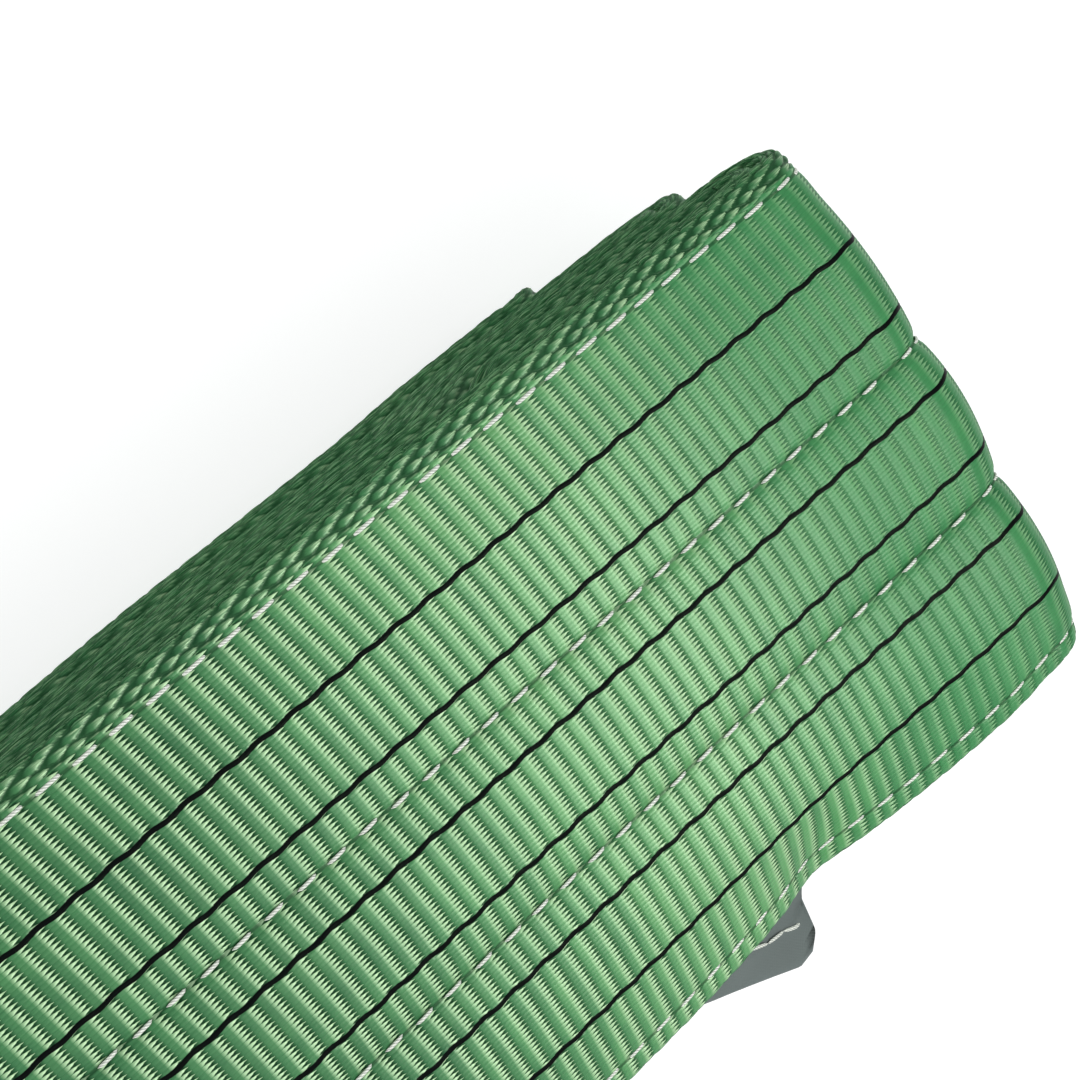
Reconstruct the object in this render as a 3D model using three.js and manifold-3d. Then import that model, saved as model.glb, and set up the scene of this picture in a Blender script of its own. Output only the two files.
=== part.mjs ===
// A flat woven web sling: two plies of polyester webbing sewn together along four seams, with a
// soft eye at each end inside a fabric sleeve, folded back and forth into a flat bundle.
//
// Millimetres. +X runs along the bundle to the end where the top layer turns down, +Z is up, and
// the origin lies on the underside, midway between the outermost folds.
//
// The webbing is one long band. Counted along it from eye A, the straight runs are:
//   run 1  the short tucked run that carries eye A, under the top layer
//   run 2  the top layer
//   run 3, run 4, run 5  the middle layers, in order downwards
//   run 6  the bottom layer, which carries eye B
// Fold n joins run n to run n + 1. Odd folds are at the far end, +X, and even folds at the near end.

import * as THREE from "three";
import { mergeVertices } from "three/addons/utils/BufferGeometryUtils.js";
import Module from "manifold-3d";

const wasm = await Module();
wasm.setup();

// Webbing
const WEB_WIDTH = 60;
const PLY = 2.8; // thickness of one woven ply
const PLY_GAP = 0.3; // between the two plies of the web
const WEB = 2 * PLY + PLY_GAP;
const LAYER_GAP = 0.6; // between one folded layer and the next
const LAYER_PITCH = WEB + LAYER_GAP;
const PLY_OFFSET = (PLY + PLY_GAP) / 2; // of each ply's middle from the web's middle

// Bundle, as lengths along X
const BUNDLE_LENGTH = 450; // between the axes of the outermost folds
const FAR_X = BUNDLE_LENGTH / 2;
const NEAR_X = -FAR_X;
const FOLD_3_RECESS = 2.75; // the middle and bottom far folds stand back from the top one
const FOLD_5_RECESS = 17;
const FOLD_4_RECESS = 4;
const END_GAP = 0.1; // between a fold or an eye and the end of its run
const FOLD_LEAD = 0.2; // straight part at either end of a fold

// Eyes and their sleeves
const EYE_LENGTH = 172;
const EYE_A_TIP_X = 22;
const EYE_B_TIP_X = NEAR_X + 22;
const SLEEVE_SHEET = 0.5;
const SLEEVE_EASE = 0.3; // between the sleeve and the web, above and below
const SLEEVE_SIDE_EASE = 2.5; // between the sleeve and each edge of the web
const SLEEVE_HEM = { width: 5, thickness: 1.1, threadInset: 3.2 }; // along its -Y edge
const SLEEVE_SETBACK = 6; // of the sleeve's mouths from the end of the eye
const TUBE = PLY + 2 * (SLEEVE_EASE + SLEEVE_SHEET); // one leg of the eye in its sleeve
const LEG_GAP = 0.3;
const LEG_OFFSET = (TUBE + LEG_GAP) / 2;
const EYE_PACK = 2 * TUBE + LEG_GAP; // a flattened eye's whole thickness
const EYE_CLEARANCE = 0.3; // between an eye and the layers on either side
const LEG_JOG = 5; // length over which a leg moves off the web's line
const LEG_LEAD = 1; // straight part of a leg before the jog

// Threads
const SEAM_YS = [27.6, 7.3, -9.3, -28]; // the four long seams
const THREAD_WIDTH = 0.8;
const THREAD_HEIGHT = 0.35;
const THREAD_CLEARANCE = 0.1;
const STITCH_BLOCK = { length: 24, width: 48, setback: 3 }; // setback from the end of the eye
const STITCH_BLOCK_INSET = 1.76; // of each opening's corners, towards its middle

// Label
const LABEL = { width: 46, tab: 22, flap: 80, hingeX: -125, gap: 0.2 };
const LABEL_SHEET = 0.7;
const COVER_SHEET = 0.3;
const COVER_INSET = 1;
const LABEL_STITCH_INSET = 2.5;

// Heights of the middle of each layer. The two eyes lie in different halves of the bundle, so the
// layers between them step up over eye B, and the top layer steps down beyond eye A.
const RUN_6_Z = WEB / 2;
const RUN_5_Z = { far: RUN_6_Z + LAYER_PITCH, near: EYE_PACK + EYE_CLEARANCE + WEB / 2 };
const RUN_4_Z = raised(RUN_5_Z, LAYER_PITCH);
const RUN_3_Z = raised(RUN_4_Z, LAYER_PITCH);
const RUN_1_Z = RUN_3_Z.far + (WEB + EYE_PACK) / 2 + EYE_CLEARANCE;
const RUN_2_Z = {
  far: RUN_1_Z + (WEB + EYE_PACK) / 2 + EYE_CLEARANCE,
  near: RUN_3_Z.near + LAYER_PITCH,
};
const MIDDLE_STEP = { from: -2, to: -30 };
const TOP_STEP = { from: 14, to: -90 };
const STEP_PARTS = 10;

// Where each end of a run or fold stands
const EYE_A_END_X = EYE_A_TIP_X + EYE_LENGTH;
const EYE_B_END_X = EYE_B_TIP_X + EYE_LENGTH;
const FOLD_X = {
  1: FAR_X,
  2: NEAR_X,
  3: FAR_X - FOLD_3_RECESS,
  4: NEAR_X + FOLD_4_RECESS,
  5: FAR_X - FOLD_5_RECESS,
};
const ARC_PARTS = 16;

const WEBBING = matt(0.1, 0.34, 0.14, 0.62);
const SLEEVE_CLOTH = matt(0.2, 0.23, 0.225, 0.85);
const THREAD = matt(0.8, 0.79, 0.74, 0.7);
const LABEL_CLOTH = matt(0.03, 0.13, 0.42, 0.5);
const CLEAR_FILM = matt(0.85, 0.9, 0.92, 0.2);

const sling = new THREE.Group();

// 1 for a fold at the far end, -1 for one at the near end
function foldSide(number) {
  return number % 2 === 1 ? 1 : -1;
}

function raised(heights, by) {
  return { far: heights.far + by, near: heights.near + by };
}

function matt(red, green, blue, roughness) {
  const color = new THREE.Color(red, green, blue);
  return new THREE.MeshStandardMaterial({ color, roughness, metalness: 0 });
}

function add(name, geometry, material) {
  const mesh = new THREE.Mesh(geometry, material);
  mesh.name = name;
  sling.add(mesh);
}

// --- Paths in the XZ plane, as arrays of THREE.Vector2(x, z) ---

function line(fromX, toX, z) {
  return [new THREE.Vector2(fromX, z), new THREE.Vector2(toX, z)];
}

// A level path that eases from one height to another between step.from and step.to.
function steppedLine(fromX, toX, heights, step) {
  const path = [new THREE.Vector2(fromX, heights.far)];
  for (let i = 0; i <= STEP_PARTS; i++) {
    const t = i / STEP_PARTS;
    const x = THREE.MathUtils.lerp(step.from, step.to, t);
    const share = THREE.MathUtils.smoothstep(t, 0, 1);
    path.push(new THREE.Vector2(x, THREE.MathUtils.lerp(heights.far, heights.near, share)));
  }
  path.push(new THREE.Vector2(toX, heights.near));
  return path;
}

// Half a circle about (x, z), from top to bottom, with a straight lead at each end. It bulges to
// +X when side is 1 and to -X when side is -1.
function halfCircle(x, z, radius, side, lead) {
  const path = [new THREE.Vector2(x - side * lead, z + radius)];
  for (let i = 0; i <= ARC_PARTS; i++) {
    const angle = Math.PI * (0.5 - i / ARC_PARTS);
    path.push(new THREE.Vector2(x + side * radius * Math.cos(angle), z + radius * Math.sin(angle)));
  }
  path.push(new THREE.Vector2(x - side * lead, z - radius));
  return path;
}

// The middle of an eye's web inside its sleeve: two straight legs from mouthX and a round tip.
function sleevePath(tipX, mouthX, z) {
  const bendX = tipX + TUBE + LEG_GAP / 2;
  return halfCircle(bendX, z, LEG_OFFSET, -1, mouthX - bendX);
}

// The middle of an eye's web, which leaves the run's two plies at webZ.
function eyePath(tipX, endX, z, webZ) {
  const start = endX - END_GAP;
  const straight = sleevePath(tipX, endX - LEG_JOG, z);
  return [
    new THREE.Vector2(start, webZ + PLY_OFFSET),
    new THREE.Vector2(start - LEG_LEAD, webZ + PLY_OFFSET),
    ...straight,
    new THREE.Vector2(start - LEG_LEAD, webZ - PLY_OFFSET),
    new THREE.Vector2(start, webZ - PLY_OFFSET),
  ];
}

// The unit normal of a path at point i, to the left of its direction.
function normalAt(path, i) {
  const before = path[Math.max(i - 1, 0)];
  const after = path[Math.min(i + 1, path.length - 1)];
  const along = after.clone().sub(before).normalize();
  return new THREE.Vector2(-along.y, along.x);
}

function offsetPath(path, distance) {
  return path.map((point, i) => point.clone().addScaledVector(normalAt(path, i), distance));
}

// --- Solids ---

// A strip of even thickness along a path, lying across Y from centreY - width / 2.
function strip(path, thickness, width, centreY = 0) {
  const left = offsetPath(path, thickness / 2);
  const right = offsetPath(path, -thickness / 2).reverse();
  const outline = new THREE.Shape([...left, ...right]);
  const geometry = new THREE.ExtrudeGeometry(outline, { depth: width, bevelEnabled: false });
  geometry.rotateX(Math.PI / 2); // the outline's second axis becomes Z, and the depth runs to -Y
  geometry.translate(0, centreY + width / 2, 0);
  return geometry;
}

function plate(lengthX, widthY, heightZ, x, y, z) {
  const geometry = new THREE.BoxGeometry(lengthX, widthY, heightZ);
  geometry.translate(x, y, z);
  return geometry;
}

function toSolid(geometry) {
  const bare = geometry.clone();
  bare.deleteAttribute("normal");
  bare.deleteAttribute("uv");
  const merged = mergeVertices(bare);
  return new wasm.Manifold(
    new wasm.Mesh({
      numProp: 3,
      vertProperties: merged.attributes.position.array,
      triVerts: new Uint32Array(merged.index.array),
    }),
  );
}

function toGeometry(solid) {
  const mesh = solid.getMesh();
  const geometry = new THREE.BufferGeometry();
  geometry.setAttribute("position", new THREE.BufferAttribute(mesh.vertProperties, 3));
  geometry.setIndex(new THREE.BufferAttribute(mesh.triVerts, 1));
  geometry.computeVertexNormals();
  return geometry;
}

// --- Webbing ---

// Ply A is the upper ply of the even runs and the lower ply of the odd ones, because each fold
// turns the web over.
function addRun(number, path) {
  const up = number % 2 === 0 ? 1 : -1;
  // a path that runs to -X has its left side downwards
  const upper = path[0].x < path[path.length - 1].x ? 1 : -1;
  const plyA = offsetPath(path, up * upper * PLY_OFFSET);
  const plyB = offsetPath(path, -up * upper * PLY_OFFSET);
  add(`ply_a_run_${number}`, strip(plyA, PLY, WEB_WIDTH), WEBBING);
  add(`ply_b_run_${number}`, strip(plyB, PLY, WEB_WIDTH), WEBBING);
}

// The fold between a lower and an upper layer. Ply A is on its outside unless plyAInside is set.
function addFold(number, lowerZ, upperZ, plyAInside) {
  const z = (lowerZ + upperZ) / 2;
  const middle = (upperZ - lowerZ) / 2;
  const bend = (radius) => halfCircle(FOLD_X[number], z, radius, foldSide(number), FOLD_LEAD);
  const outer = strip(bend(middle + PLY_OFFSET), PLY, WEB_WIDTH);
  const inner = strip(bend(middle - PLY_OFFSET), PLY, WEB_WIDTH);
  add(`ply_a_fold_${number}`, plyAInside ? inner : outer, WEBBING);
  add(`ply_b_fold_${number}`, plyAInside ? outer : inner, WEBBING);
}

// The end of a run that meets fold number n.
function runEnd(number) {
  return FOLD_X[number] - foldSide(number) * (FOLD_LEAD + END_GAP);
}

function addWebbing() {
  addRun(1, line(runEnd(1), EYE_A_END_X, RUN_1_Z));
  addRun(2, steppedLine(runEnd(1), runEnd(2), RUN_2_Z, TOP_STEP));
  addRun(3, steppedLine(runEnd(3), runEnd(2), RUN_3_Z, MIDDLE_STEP));
  addRun(4, steppedLine(runEnd(3), runEnd(4), RUN_4_Z, MIDDLE_STEP));
  addRun(5, steppedLine(runEnd(5), runEnd(4), RUN_5_Z, MIDDLE_STEP));
  addRun(6, line(runEnd(5), EYE_B_END_X, RUN_6_Z));
  addFold(1, RUN_1_Z, RUN_2_Z.far, false);
  addFold(2, RUN_3_Z.near, RUN_2_Z.near, false);
  addFold(3, RUN_4_Z.far, RUN_3_Z.far, true);
  addFold(4, RUN_5_Z.near, RUN_4_Z.near, false);
  addFold(5, RUN_6_Z, RUN_5_Z.far, true);
}

// --- Eyes ---

// An eye is one ply that leaves the web as its upper ply and comes back as its lower ply. webZ is
// the height of the web's middle at the eye, and z the height of the eye's own middle.
function addEye(name, tipX, endX, webZ, z) {
  add(`${name}_loop`, strip(eyePath(tipX, endX, z, webZ), PLY, WEB_WIDTH), WEBBING);

  const path = sleevePath(tipX, endX - SLEEVE_SETBACK, z);
  const hollowPath = sleevePath(tipX, endX, z);
  const hollowWidth = WEB_WIDTH + 2 * SLEEVE_SIDE_EASE;
  const tubeWidth = hollowWidth + 2 * SLEEVE_SHEET;
  const edgeY = -tubeWidth / 2 - SLEEVE_HEM.width;
  const hemWidth = SLEEVE_HEM.width + SLEEVE_SIDE_EASE;
  const tube = toSolid(strip(path, TUBE, tubeWidth));
  const hem = toSolid(strip(path, SLEEVE_HEM.thickness, hemWidth, edgeY + hemWidth / 2));
  const hollow = toSolid(strip(hollowPath, PLY + 2 * SLEEVE_EASE, hollowWidth));
  add(`${name}_sleeve`, toGeometry(tube.add(hem).subtract(hollow)), SLEEVE_CLOTH);

  const threadLift = (SLEEVE_HEM.thickness + THREAD_HEIGHT) / 2 + THREAD_CLEARANCE;
  const threadPath = offsetPath(path, -threadLift);
  const threadY = edgeY + SLEEVE_HEM.threadInset;
  const thread = strip(threadPath, THREAD_HEIGHT, THREAD_WIDTH, threadY);
  add(`${name}_sleeve_thread`, thread, THREAD);
}

// A triangle with each corner moved towards its middle.
function drawnIn(triangle, distance) {
  const middle = new THREE.Vector2();
  triangle.forEach((point) => middle.addScaledVector(point, 1 / 3));
  return triangle.map((point) => {
    const inward = middle.clone().sub(point).setLength(distance);
    return point.clone().add(inward);
  });
}

// A box of stitching with a cross in it, sewn through the web beside an eye.
function stitchBlock(endX, z) {
  const { length, width, setback } = STITCH_BLOCK;
  const centre = new THREE.Vector2(length / 2, 0);
  const corners = [
    new THREE.Vector2(0, -width / 2),
    new THREE.Vector2(length, -width / 2),
    new THREE.Vector2(length, width / 2),
    new THREE.Vector2(0, width / 2),
  ];
  const box = new THREE.Shape(corners);
  corners.forEach((corner, i) => {
    // each opening is the triangle between one side of the box and two arms of the cross
    const triangle = [corner, corners[(i + 1) % corners.length], centre];
    box.holes.push(new THREE.Path(drawnIn(triangle, STITCH_BLOCK_INSET)));
  });
  const geometry = new THREE.ExtrudeGeometry(box, { depth: THREAD_HEIGHT, bevelEnabled: false });
  geometry.translate(endX + setback, 0, z);
  return geometry;
}

function addEyes() {
  addEye("eye_a", EYE_A_TIP_X, EYE_A_END_X, RUN_1_Z, RUN_1_Z);
  addEye("eye_b", EYE_B_TIP_X, EYE_B_END_X, RUN_6_Z, EYE_PACK / 2);
  const blockA = stitchBlock(EYE_A_END_X, RUN_1_Z + WEB / 2 + THREAD_CLEARANCE);
  const blockB = stitchBlock(EYE_B_END_X, RUN_6_Z + WEB / 2 + THREAD_CLEARANCE);
  add("eye_a_stitching", blockA, THREAD);
  add("eye_b_stitching", blockB, THREAD);
}

// --- Seam threads on the top layer ---

function addSeamThreads() {
  const middle = steppedLine(FOLD_X[1], FOLD_X[2], RUN_2_Z, TOP_STEP);
  const path = offsetPath(middle, -(WEB / 2 + THREAD_CLEARANCE + THREAD_HEIGHT / 2));
  SEAM_YS.forEach((y, i) => {
    add(`run_2_seam_thread_${i + 1}`, strip(path, THREAD_HEIGHT, THREAD_WIDTH, y), THREAD);
  });
}

// --- Label ---

// A flat rectangular ring of thread, set in from the edges of a length by width sheet.
function threadFrame(length, width, inset) {
  const outline = (edge) => [
    new THREE.Vector2(-length / 2 + edge, -width / 2 + edge),
    new THREE.Vector2(length / 2 - edge, -width / 2 + edge),
    new THREE.Vector2(length / 2 - edge, width / 2 - edge),
    new THREE.Vector2(-length / 2 + edge, width / 2 - edge),
  ];
  const ring = new THREE.Shape(outline(inset));
  ring.holes.push(new THREE.Path(outline(inset + THREAD_WIDTH)));
  return new THREE.ExtrudeGeometry(ring, { depth: THREAD_HEIGHT, bevelEnabled: false });
}

// A tab sewn to the top layer, and a flap that turns on the fold line beside it.
function addLabel() {
  const clear = 2 * THREAD_CLEARANCE + THREAD_HEIGHT; // it lies over the seam threads
  const z = RUN_2_Z.near + WEB / 2 + clear + LABEL_SHEET / 2;
  const tabX = LABEL.hingeX + LABEL.tab / 2;
  const flapX = LABEL.hingeX - LABEL.gap - LABEL.flap / 2;
  const coverZ = z + (LABEL_SHEET + COVER_SHEET) / 2 + THREAD_CLEARANCE;
  add("label_tab", plate(LABEL.tab, LABEL.width, LABEL_SHEET, tabX, 0, z), LABEL_CLOTH);
  add("label_flap", plate(LABEL.flap, LABEL.width, LABEL_SHEET, flapX, 0, z), LABEL_CLOTH);
  const coverLength = LABEL.flap - 2 * COVER_INSET;
  const coverWidth = LABEL.width - 2 * COVER_INSET;
  add("label_cover", plate(coverLength, coverWidth, COVER_SHEET, flapX, 0, coverZ), CLEAR_FILM);
  const stitchZ = z + LABEL_SHEET / 2 + THREAD_CLEARANCE;
  const stitching = threadFrame(LABEL.tab, LABEL.width, LABEL_STITCH_INSET);
  stitching.translate(tabX, 0, stitchZ);
  add("label_stitching", stitching, THREAD);
}

addWebbing();
addEyes();
addSeamThreads();
addLabel();

export default sling;
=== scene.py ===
import math

import bpy
import numpy as np
from mathutils import Matrix, Vector


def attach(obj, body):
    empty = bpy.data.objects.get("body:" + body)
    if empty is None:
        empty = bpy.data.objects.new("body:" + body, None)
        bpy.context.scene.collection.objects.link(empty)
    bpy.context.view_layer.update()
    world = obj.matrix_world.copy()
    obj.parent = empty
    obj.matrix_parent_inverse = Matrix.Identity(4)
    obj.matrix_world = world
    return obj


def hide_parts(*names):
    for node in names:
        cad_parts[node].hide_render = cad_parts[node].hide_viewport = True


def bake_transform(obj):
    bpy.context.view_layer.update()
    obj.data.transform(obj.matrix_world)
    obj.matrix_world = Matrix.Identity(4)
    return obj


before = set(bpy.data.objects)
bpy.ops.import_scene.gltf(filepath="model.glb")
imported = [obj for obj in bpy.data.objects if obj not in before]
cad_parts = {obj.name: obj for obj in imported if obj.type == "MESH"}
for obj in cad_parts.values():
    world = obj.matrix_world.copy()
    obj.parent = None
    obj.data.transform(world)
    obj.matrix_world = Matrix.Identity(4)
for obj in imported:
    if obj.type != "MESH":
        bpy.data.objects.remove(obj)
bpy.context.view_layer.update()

# A flat web sling of green duplex webbing, folded back and forth into a flat bundle that lies
# along X. Its lengths are in mm up to add_object(), which turns them into metres. The floor, the
# lamps and the camera are in metres.

RNG = np.random.default_rng(7)
MM = 0.001

# ---------------------------------------------------------------- the sling's sizes

PLY = 2.8  # thickness of one ply
WEB = 5.9  # thickness of the two plies sewn together
PLY_OFFSET = 1.55  # of a ply's middle from the web's
HALF = 28.3  # half the width of the web's face, out to the selvedges
EDGE = 30.3  # half the whole width
SEAMS = (27.6, 7.3, -9.3, -28.0)  # where the four rows of stitches lie across the web
STITCHES = ((4.0, 3.2), (3.82, 2.3), (3.86, 2.3), (3.9, 2.5))  # pitch and length, seam by seam

RIB = 2.04  # from one rib of the weave to the next
RISE = 0.30  # of a float over its two ends
TOOTH = 0.43  # from one float to the next across the web
TAPER = 0.27  # how far a float's pointed end reaches past the middle of the gap, in ribs
LEAVES = 13  # columns of floats round a selvedge
STRIPES = 6
STRIPE_PITCH = 8.2
STRIPE_SHIFT = -1.2  # of the stripes' middle from the web's
STRIPE_HALF = 0.27
WAVER = 0.09  # of a stripe from side to side

PITCH = 6.5  # from one run's middle to the next
GAP = 0.3  # between an eye and the runs over and under it
EYE_PACK = 9.1  # height of an eye in its sleeve
TOP = 41.0  # height of the whole bundle
FOLD_X = {1: 225.0, 2: -225.0, 3: 222.25, 4: -221.0, 5: 208.0}
LEAD = 0.25  # straight web at each end of a fold
STEP = (-2.0, -30.0)  # where the middle runs climb over eye B
TOP_STEP = (14.0, -90.0)  # and where the top run comes down past eye A

EYE_A = (22.0, 194.0)  # an eye's tip, and where its two legs meet
EYE_B = (-203.0, -31.0)
TUBE = 4.4  # half the height of an eye at its rounded tip
LEG = 2.35  # of a leg's middle from the eye's
MOUTH = 6.0  # of bare web between a sleeve and where the legs meet

Z6 = WEB / 2  # the runs' heights, each at its far end and, if it climbs, its near end
Z5 = (Z6 + PITCH, EYE_PACK + GAP + WEB / 2)
Z4 = (Z5[0] + PITCH, Z5[1] + PITCH)
Z3 = (Z4[0] + PITCH, Z4[1] + PITCH)
Z1 = Z3[0] + (WEB + EYE_PACK) / 2 + GAP
Z2 = (Z1 + (WEB + EYE_PACK) / 2 + GAP, Z3[1] + PITCH)

FINE_FROM = 104.0  # the top run is woven float by float from here to its far fold
FINE_PIECES = 5
PUFF = 0.7  # how far the top run's upper face stands up between its seams


def ease(value, start, end):
    """0 up to start and 1 past end, with a smooth change between them. start may be the larger."""
    t = np.clip((value - start) / (end - start), 0, 1)
    return t * t * (3 - 2 * t)


def bump_at(value, centre, width):
    return np.exp(-(((value - centre) / width) ** 2))


# ---------------------------------------------------------------- how the bundle has settled


def raised(x, y, z):
    """How far up the layers have moved: domed over the middle of the web, slack towards the far
    end at -Y, pinched beside eye A's mouth, with the middle layers filled out at +Y."""
    # each line is a height in mm, times the places where it applies
    dome = 1.0 - 5.2 * (np.clip(np.abs(y), 0, 34) / 30) ** 2
    slack = 2.6 * ease(x, 186.3, 231.3) * ease(y, -4, -30)
    pinch = -1.6 * bump_at(x, 189.5, 4.5) * ease(y, -22, -31) * ease(z, 24, 36)
    sag = 0.5 * np.sin(x / 37.0 + 0.6) * np.sin(x / 91.0)
    middle_layers = np.where(z < 25.4, z / 25.4, np.clip((35.1 - z) / 9.7, 0, 1))
    fill = 5.5 * middle_layers * ease(y, 14, 30) * ease(x, 5, 35) * ease(x, 197, 183)
    return z * (dome + slack + pinch + sag) / TOP + fill


def slid(x, z):
    """How far the layers have slid across the bundle, each a little further than the one above."""
    lean = 0.035 + 0.035 * ease(x, 165, 120)
    lowest = -1.6 * ease(z, 10, 2)
    uneven = 0.35 * np.sin(z * 0.55 + x / 75.0) * (1 - np.clip(z, 0, None) / TOP)
    return lean * (z - TOP) + lowest + uneven


def pulled(x, y, z):
    """How far the top layer's -Y edge is drawn in over eye A's mouth and at its fold."""
    over_mouth = 1.25 * bump_at(x, 190.0, 13.5)
    return (over_mouth + 0.5 * ease(x, 217, 225)) * ease(y, -18, -29) * ease(z, 28, 36)


def fanned(x, y):
    """How far the ribs have turned out of square: backwards at +Y along most of the bundle, and
    nearly square again at its far end."""
    turn = np.minimum((x - 181.3) / 50, 0.4) * np.exp(-((np.minimum(x - 141.3, 0) / 70) ** 2))
    return np.clip(y, -32, 32) / 30 * (2.9 * turn - 0.8 * ease(x, -50, 150))


def settle(points):
    """The neat bundle's points, moved to where the cloth really lies."""
    x, y, z = points[..., 0], points[..., 1], points[..., 2]
    moved_y = y + slid(x, z) + pulled(x, y, z)
    return np.stack([x + fanned(x, y), moved_y, z + raised(x, y, z)], -1)


# ---------------------------------------------------------------- paths in the XZ plane


class Path:
    """A line in the XZ plane, measured along its length. Its normal is to its left."""

    def __init__(self, x, z):
        self.x, self.z = np.asarray(x, float), np.asarray(z, float)
        self.s = np.concatenate([[0], np.cumsum(np.hypot(np.diff(self.x), np.diff(self.z)))])
        self.length = float(self.s[-1])

    def at(self, s):
        """The points at distances s along the line, and its normals there."""
        x, z = np.interp(s, self.s, self.x), np.interp(s, self.s, self.z)
        step = 0.1
        a = np.clip(s - step / 2, 0, self.length - step)
        dx = np.interp(a + step, self.s, self.x) - np.interp(a, self.s, self.x)
        dz = np.interp(a + step, self.s, self.z) - np.interp(a, self.s, self.z)
        n = np.hypot(dx, dz)
        return x, z, -dz / n, dx / n

    def offset(self, d):
        x, z, nx, nz = self.at(self.s)
        return Path(x + nx * d, z + nz * d)

    def reversed(self):
        return Path(self.x[::-1], self.z[::-1])


def run_path(x0, x1, heights, step):
    """A run, whose height changes from the first to the second between step's two places."""
    x = np.linspace(x0, x1, 240)
    return Path(x, heights[0] + (heights[1] - heights[0]) * ease(x, *step))


def half_circle(x, z, r, side):
    """Round a fold, with its normal outwards: downwards at the far end, upwards at the near."""
    a = np.linspace(math.pi / 2, -math.pi / 2, 49)
    px = np.concatenate([[x - side * LEAD], x + side * r * np.cos(a), [x - side * LEAD]])
    pz = np.concatenate([[z + r], z + r * np.sin(a), [z - r]])
    path = Path(px, pz)
    return path if side > 0 else path.reversed()


def round_tip(tip, z, x, low, up):
    """Along an eye's lower leg, through the points (x, low), round the eye's tip, and back along
    its upper leg, through the points (x, up)."""
    middle = tip + TUBE + 0.15
    a = np.linspace(-math.pi / 2, -3 * math.pi / 2, 33)
    px = np.concatenate([x, middle + LEG * np.cos(a), x[::-1]])
    pz = np.concatenate([low, z + LEG * np.sin(a), up[::-1]])
    apart = np.concatenate([[True], np.hypot(np.diff(px), np.diff(pz)) > 1e-6])
    return Path(px[apart], pz[apart])


def loop_path(tip, end, z, web_z):
    """An eye's own web, whose legs part from the two plies' lines within a few mm."""
    x = [end, end - 1, end - 5]
    low = [web_z - PLY_OFFSET, web_z - PLY_OFFSET, z - LEG]
    up = [web_z + PLY_OFFSET, web_z + PLY_OFFSET, z + LEG]
    return round_tip(tip, z, x, low, up)


def sleeve_path(tip, end, z):
    return round_tip(tip, z, [end - MOUTH], [z - LEG], [z + LEG])


# ---------------------------------------------------------------- the weave's relief

# phi is the distance along the web, in ribs, and w the distance across it from its middle. q goes
# round a selvedge from 0 at the top of the face to 1 at the bottom.


def stripe_line(k, phi):
    """Where dark marker end k lies across the web: it wavers from rib to rib."""
    return k * STRIPE_PITCH + STRIPE_SHIFT + WAVER * np.sin(math.pi * phi + 1.3 * k)


def floats(phi, w):
    """The float on top at each point, as the distance along it from its middle, in ribs, and
    across it, 0 at its middle and 1 at its edge. Two sets of warp threads lie half a tooth apart,
    and each goes over every second rib, with its ends drawn out to points."""
    rib = np.floor(phi)
    t = w / TOOTH
    zigzag = 1 - 4 * np.abs(t - np.round(t))
    over = phi - rib > 0.5 + TAPER * (1 - 2 * (rib % 2)) * zigzag
    along = phi - rib - over
    t = t + 0.5 * ((rib + over) % 2)
    half = np.clip((0.5 + TAPER - np.abs(along)) / (4 * TAPER), 0.01, 0.5)
    return along, np.clip(np.abs(t - np.round(t)) / half, 0, 1)


def arched(along):
    """Height of a float, which falls away towards its two ends."""
    return RISE * (1 - (np.abs(along) / (0.5 + TAPER)) ** 3)


def weave(phi, w):
    """Height of the woven face, with its dark marker ends."""
    along, across = floats(phi, w)
    height = arched(along) - 0.035 * across**2
    for i in range(STRIPES):
        d = (w - stripe_line((STRIPES - 1) / 2 - i, phi)) / STRIPE_HALF
        thread = 0.19 + 0.12 * (1 - d * d) + 0.03 * np.cos(math.pi * phi)
        height = np.where(np.abs(d) < 1, thread, height)
    return height


def plain_ribs(phi):
    return arched(phi - np.round(phi))


def channels(w):
    """How far the web stands up between its seams, as a share: it is drawn in along them, and
    level at its two edges."""
    out = np.zeros_like(w)
    for a, b, share in zip(SEAMS[:-1], SEAMS[1:], (0.7, 1.0, 1.0)):
        t = np.clip((a - w) / (a - b), 0, 1)
        out = np.maximum(out, share * np.sin(math.pi * t) ** 0.7)
    return out - 0.35 * ease(np.abs(w), HALF, HALF - 5)


def seam_dip(w):
    depths = (0.10, 0.26, 0.26, 0.10)
    return -sum(depth * bump_at(w, line, 0.7) for line, depth in zip(SEAMS, depths))


def leaves(q, phi):
    """Relief of a selvedge, with the painted shade and painted highlight of each point: pointed
    floats two ribs apart, in columns round the edge, each widest behind its tip and rising towards
    it."""
    shape = np.broadcast(q, phi).shape
    ground, gloom, shown = -0.14, 0.75, 0.64  # shown: the rest is tucked under the next float; gloom is the painted shade of the ground there
    relief, dark, tip = np.full(shape, ground), np.full(shape, gloom), np.zeros(shape)
    for k in range(-1, LEAVES + 1):
        t = phi / 2 + 0.5 * (k % 2) + 0.13 * math.sin(5.1 * k)
        along = t - np.floor(t)
        middle = k + 0.5 + 0.55 * (along - 0.3)
        along = along / shown
        width = 0.92 * np.clip(1.02 - along**2.2, 0, 1) ** 0.8 * ease(along, -0.045, 0.405)
        across = np.clip(np.abs(q * LEAVES - middle) / np.maximum(width, 0.02), 0, 1.5)
        risen = ease(along, 0, 0.45)
        height = 0.17 * (1 - across**2) * (0.35 + 0.65 * risen) - 0.06 * along**3 - 0.02
        on_top = (height > relief) & (across < 1)
        rim = ease(across, 0.72, 1)
        relief = np.where(on_top, height, relief)
        # painted shade on each float's rim and rising half, and painted highlight towards its tip
        dark = np.where(on_top, np.maximum(gloom * rim, 0.8 * ease(along, 0.4, 0)), dark)
        tip = np.where(on_top, ease(along, 0.35, 0.75) * (1 - rim), tip)
    return relief, dark, tip


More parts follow.
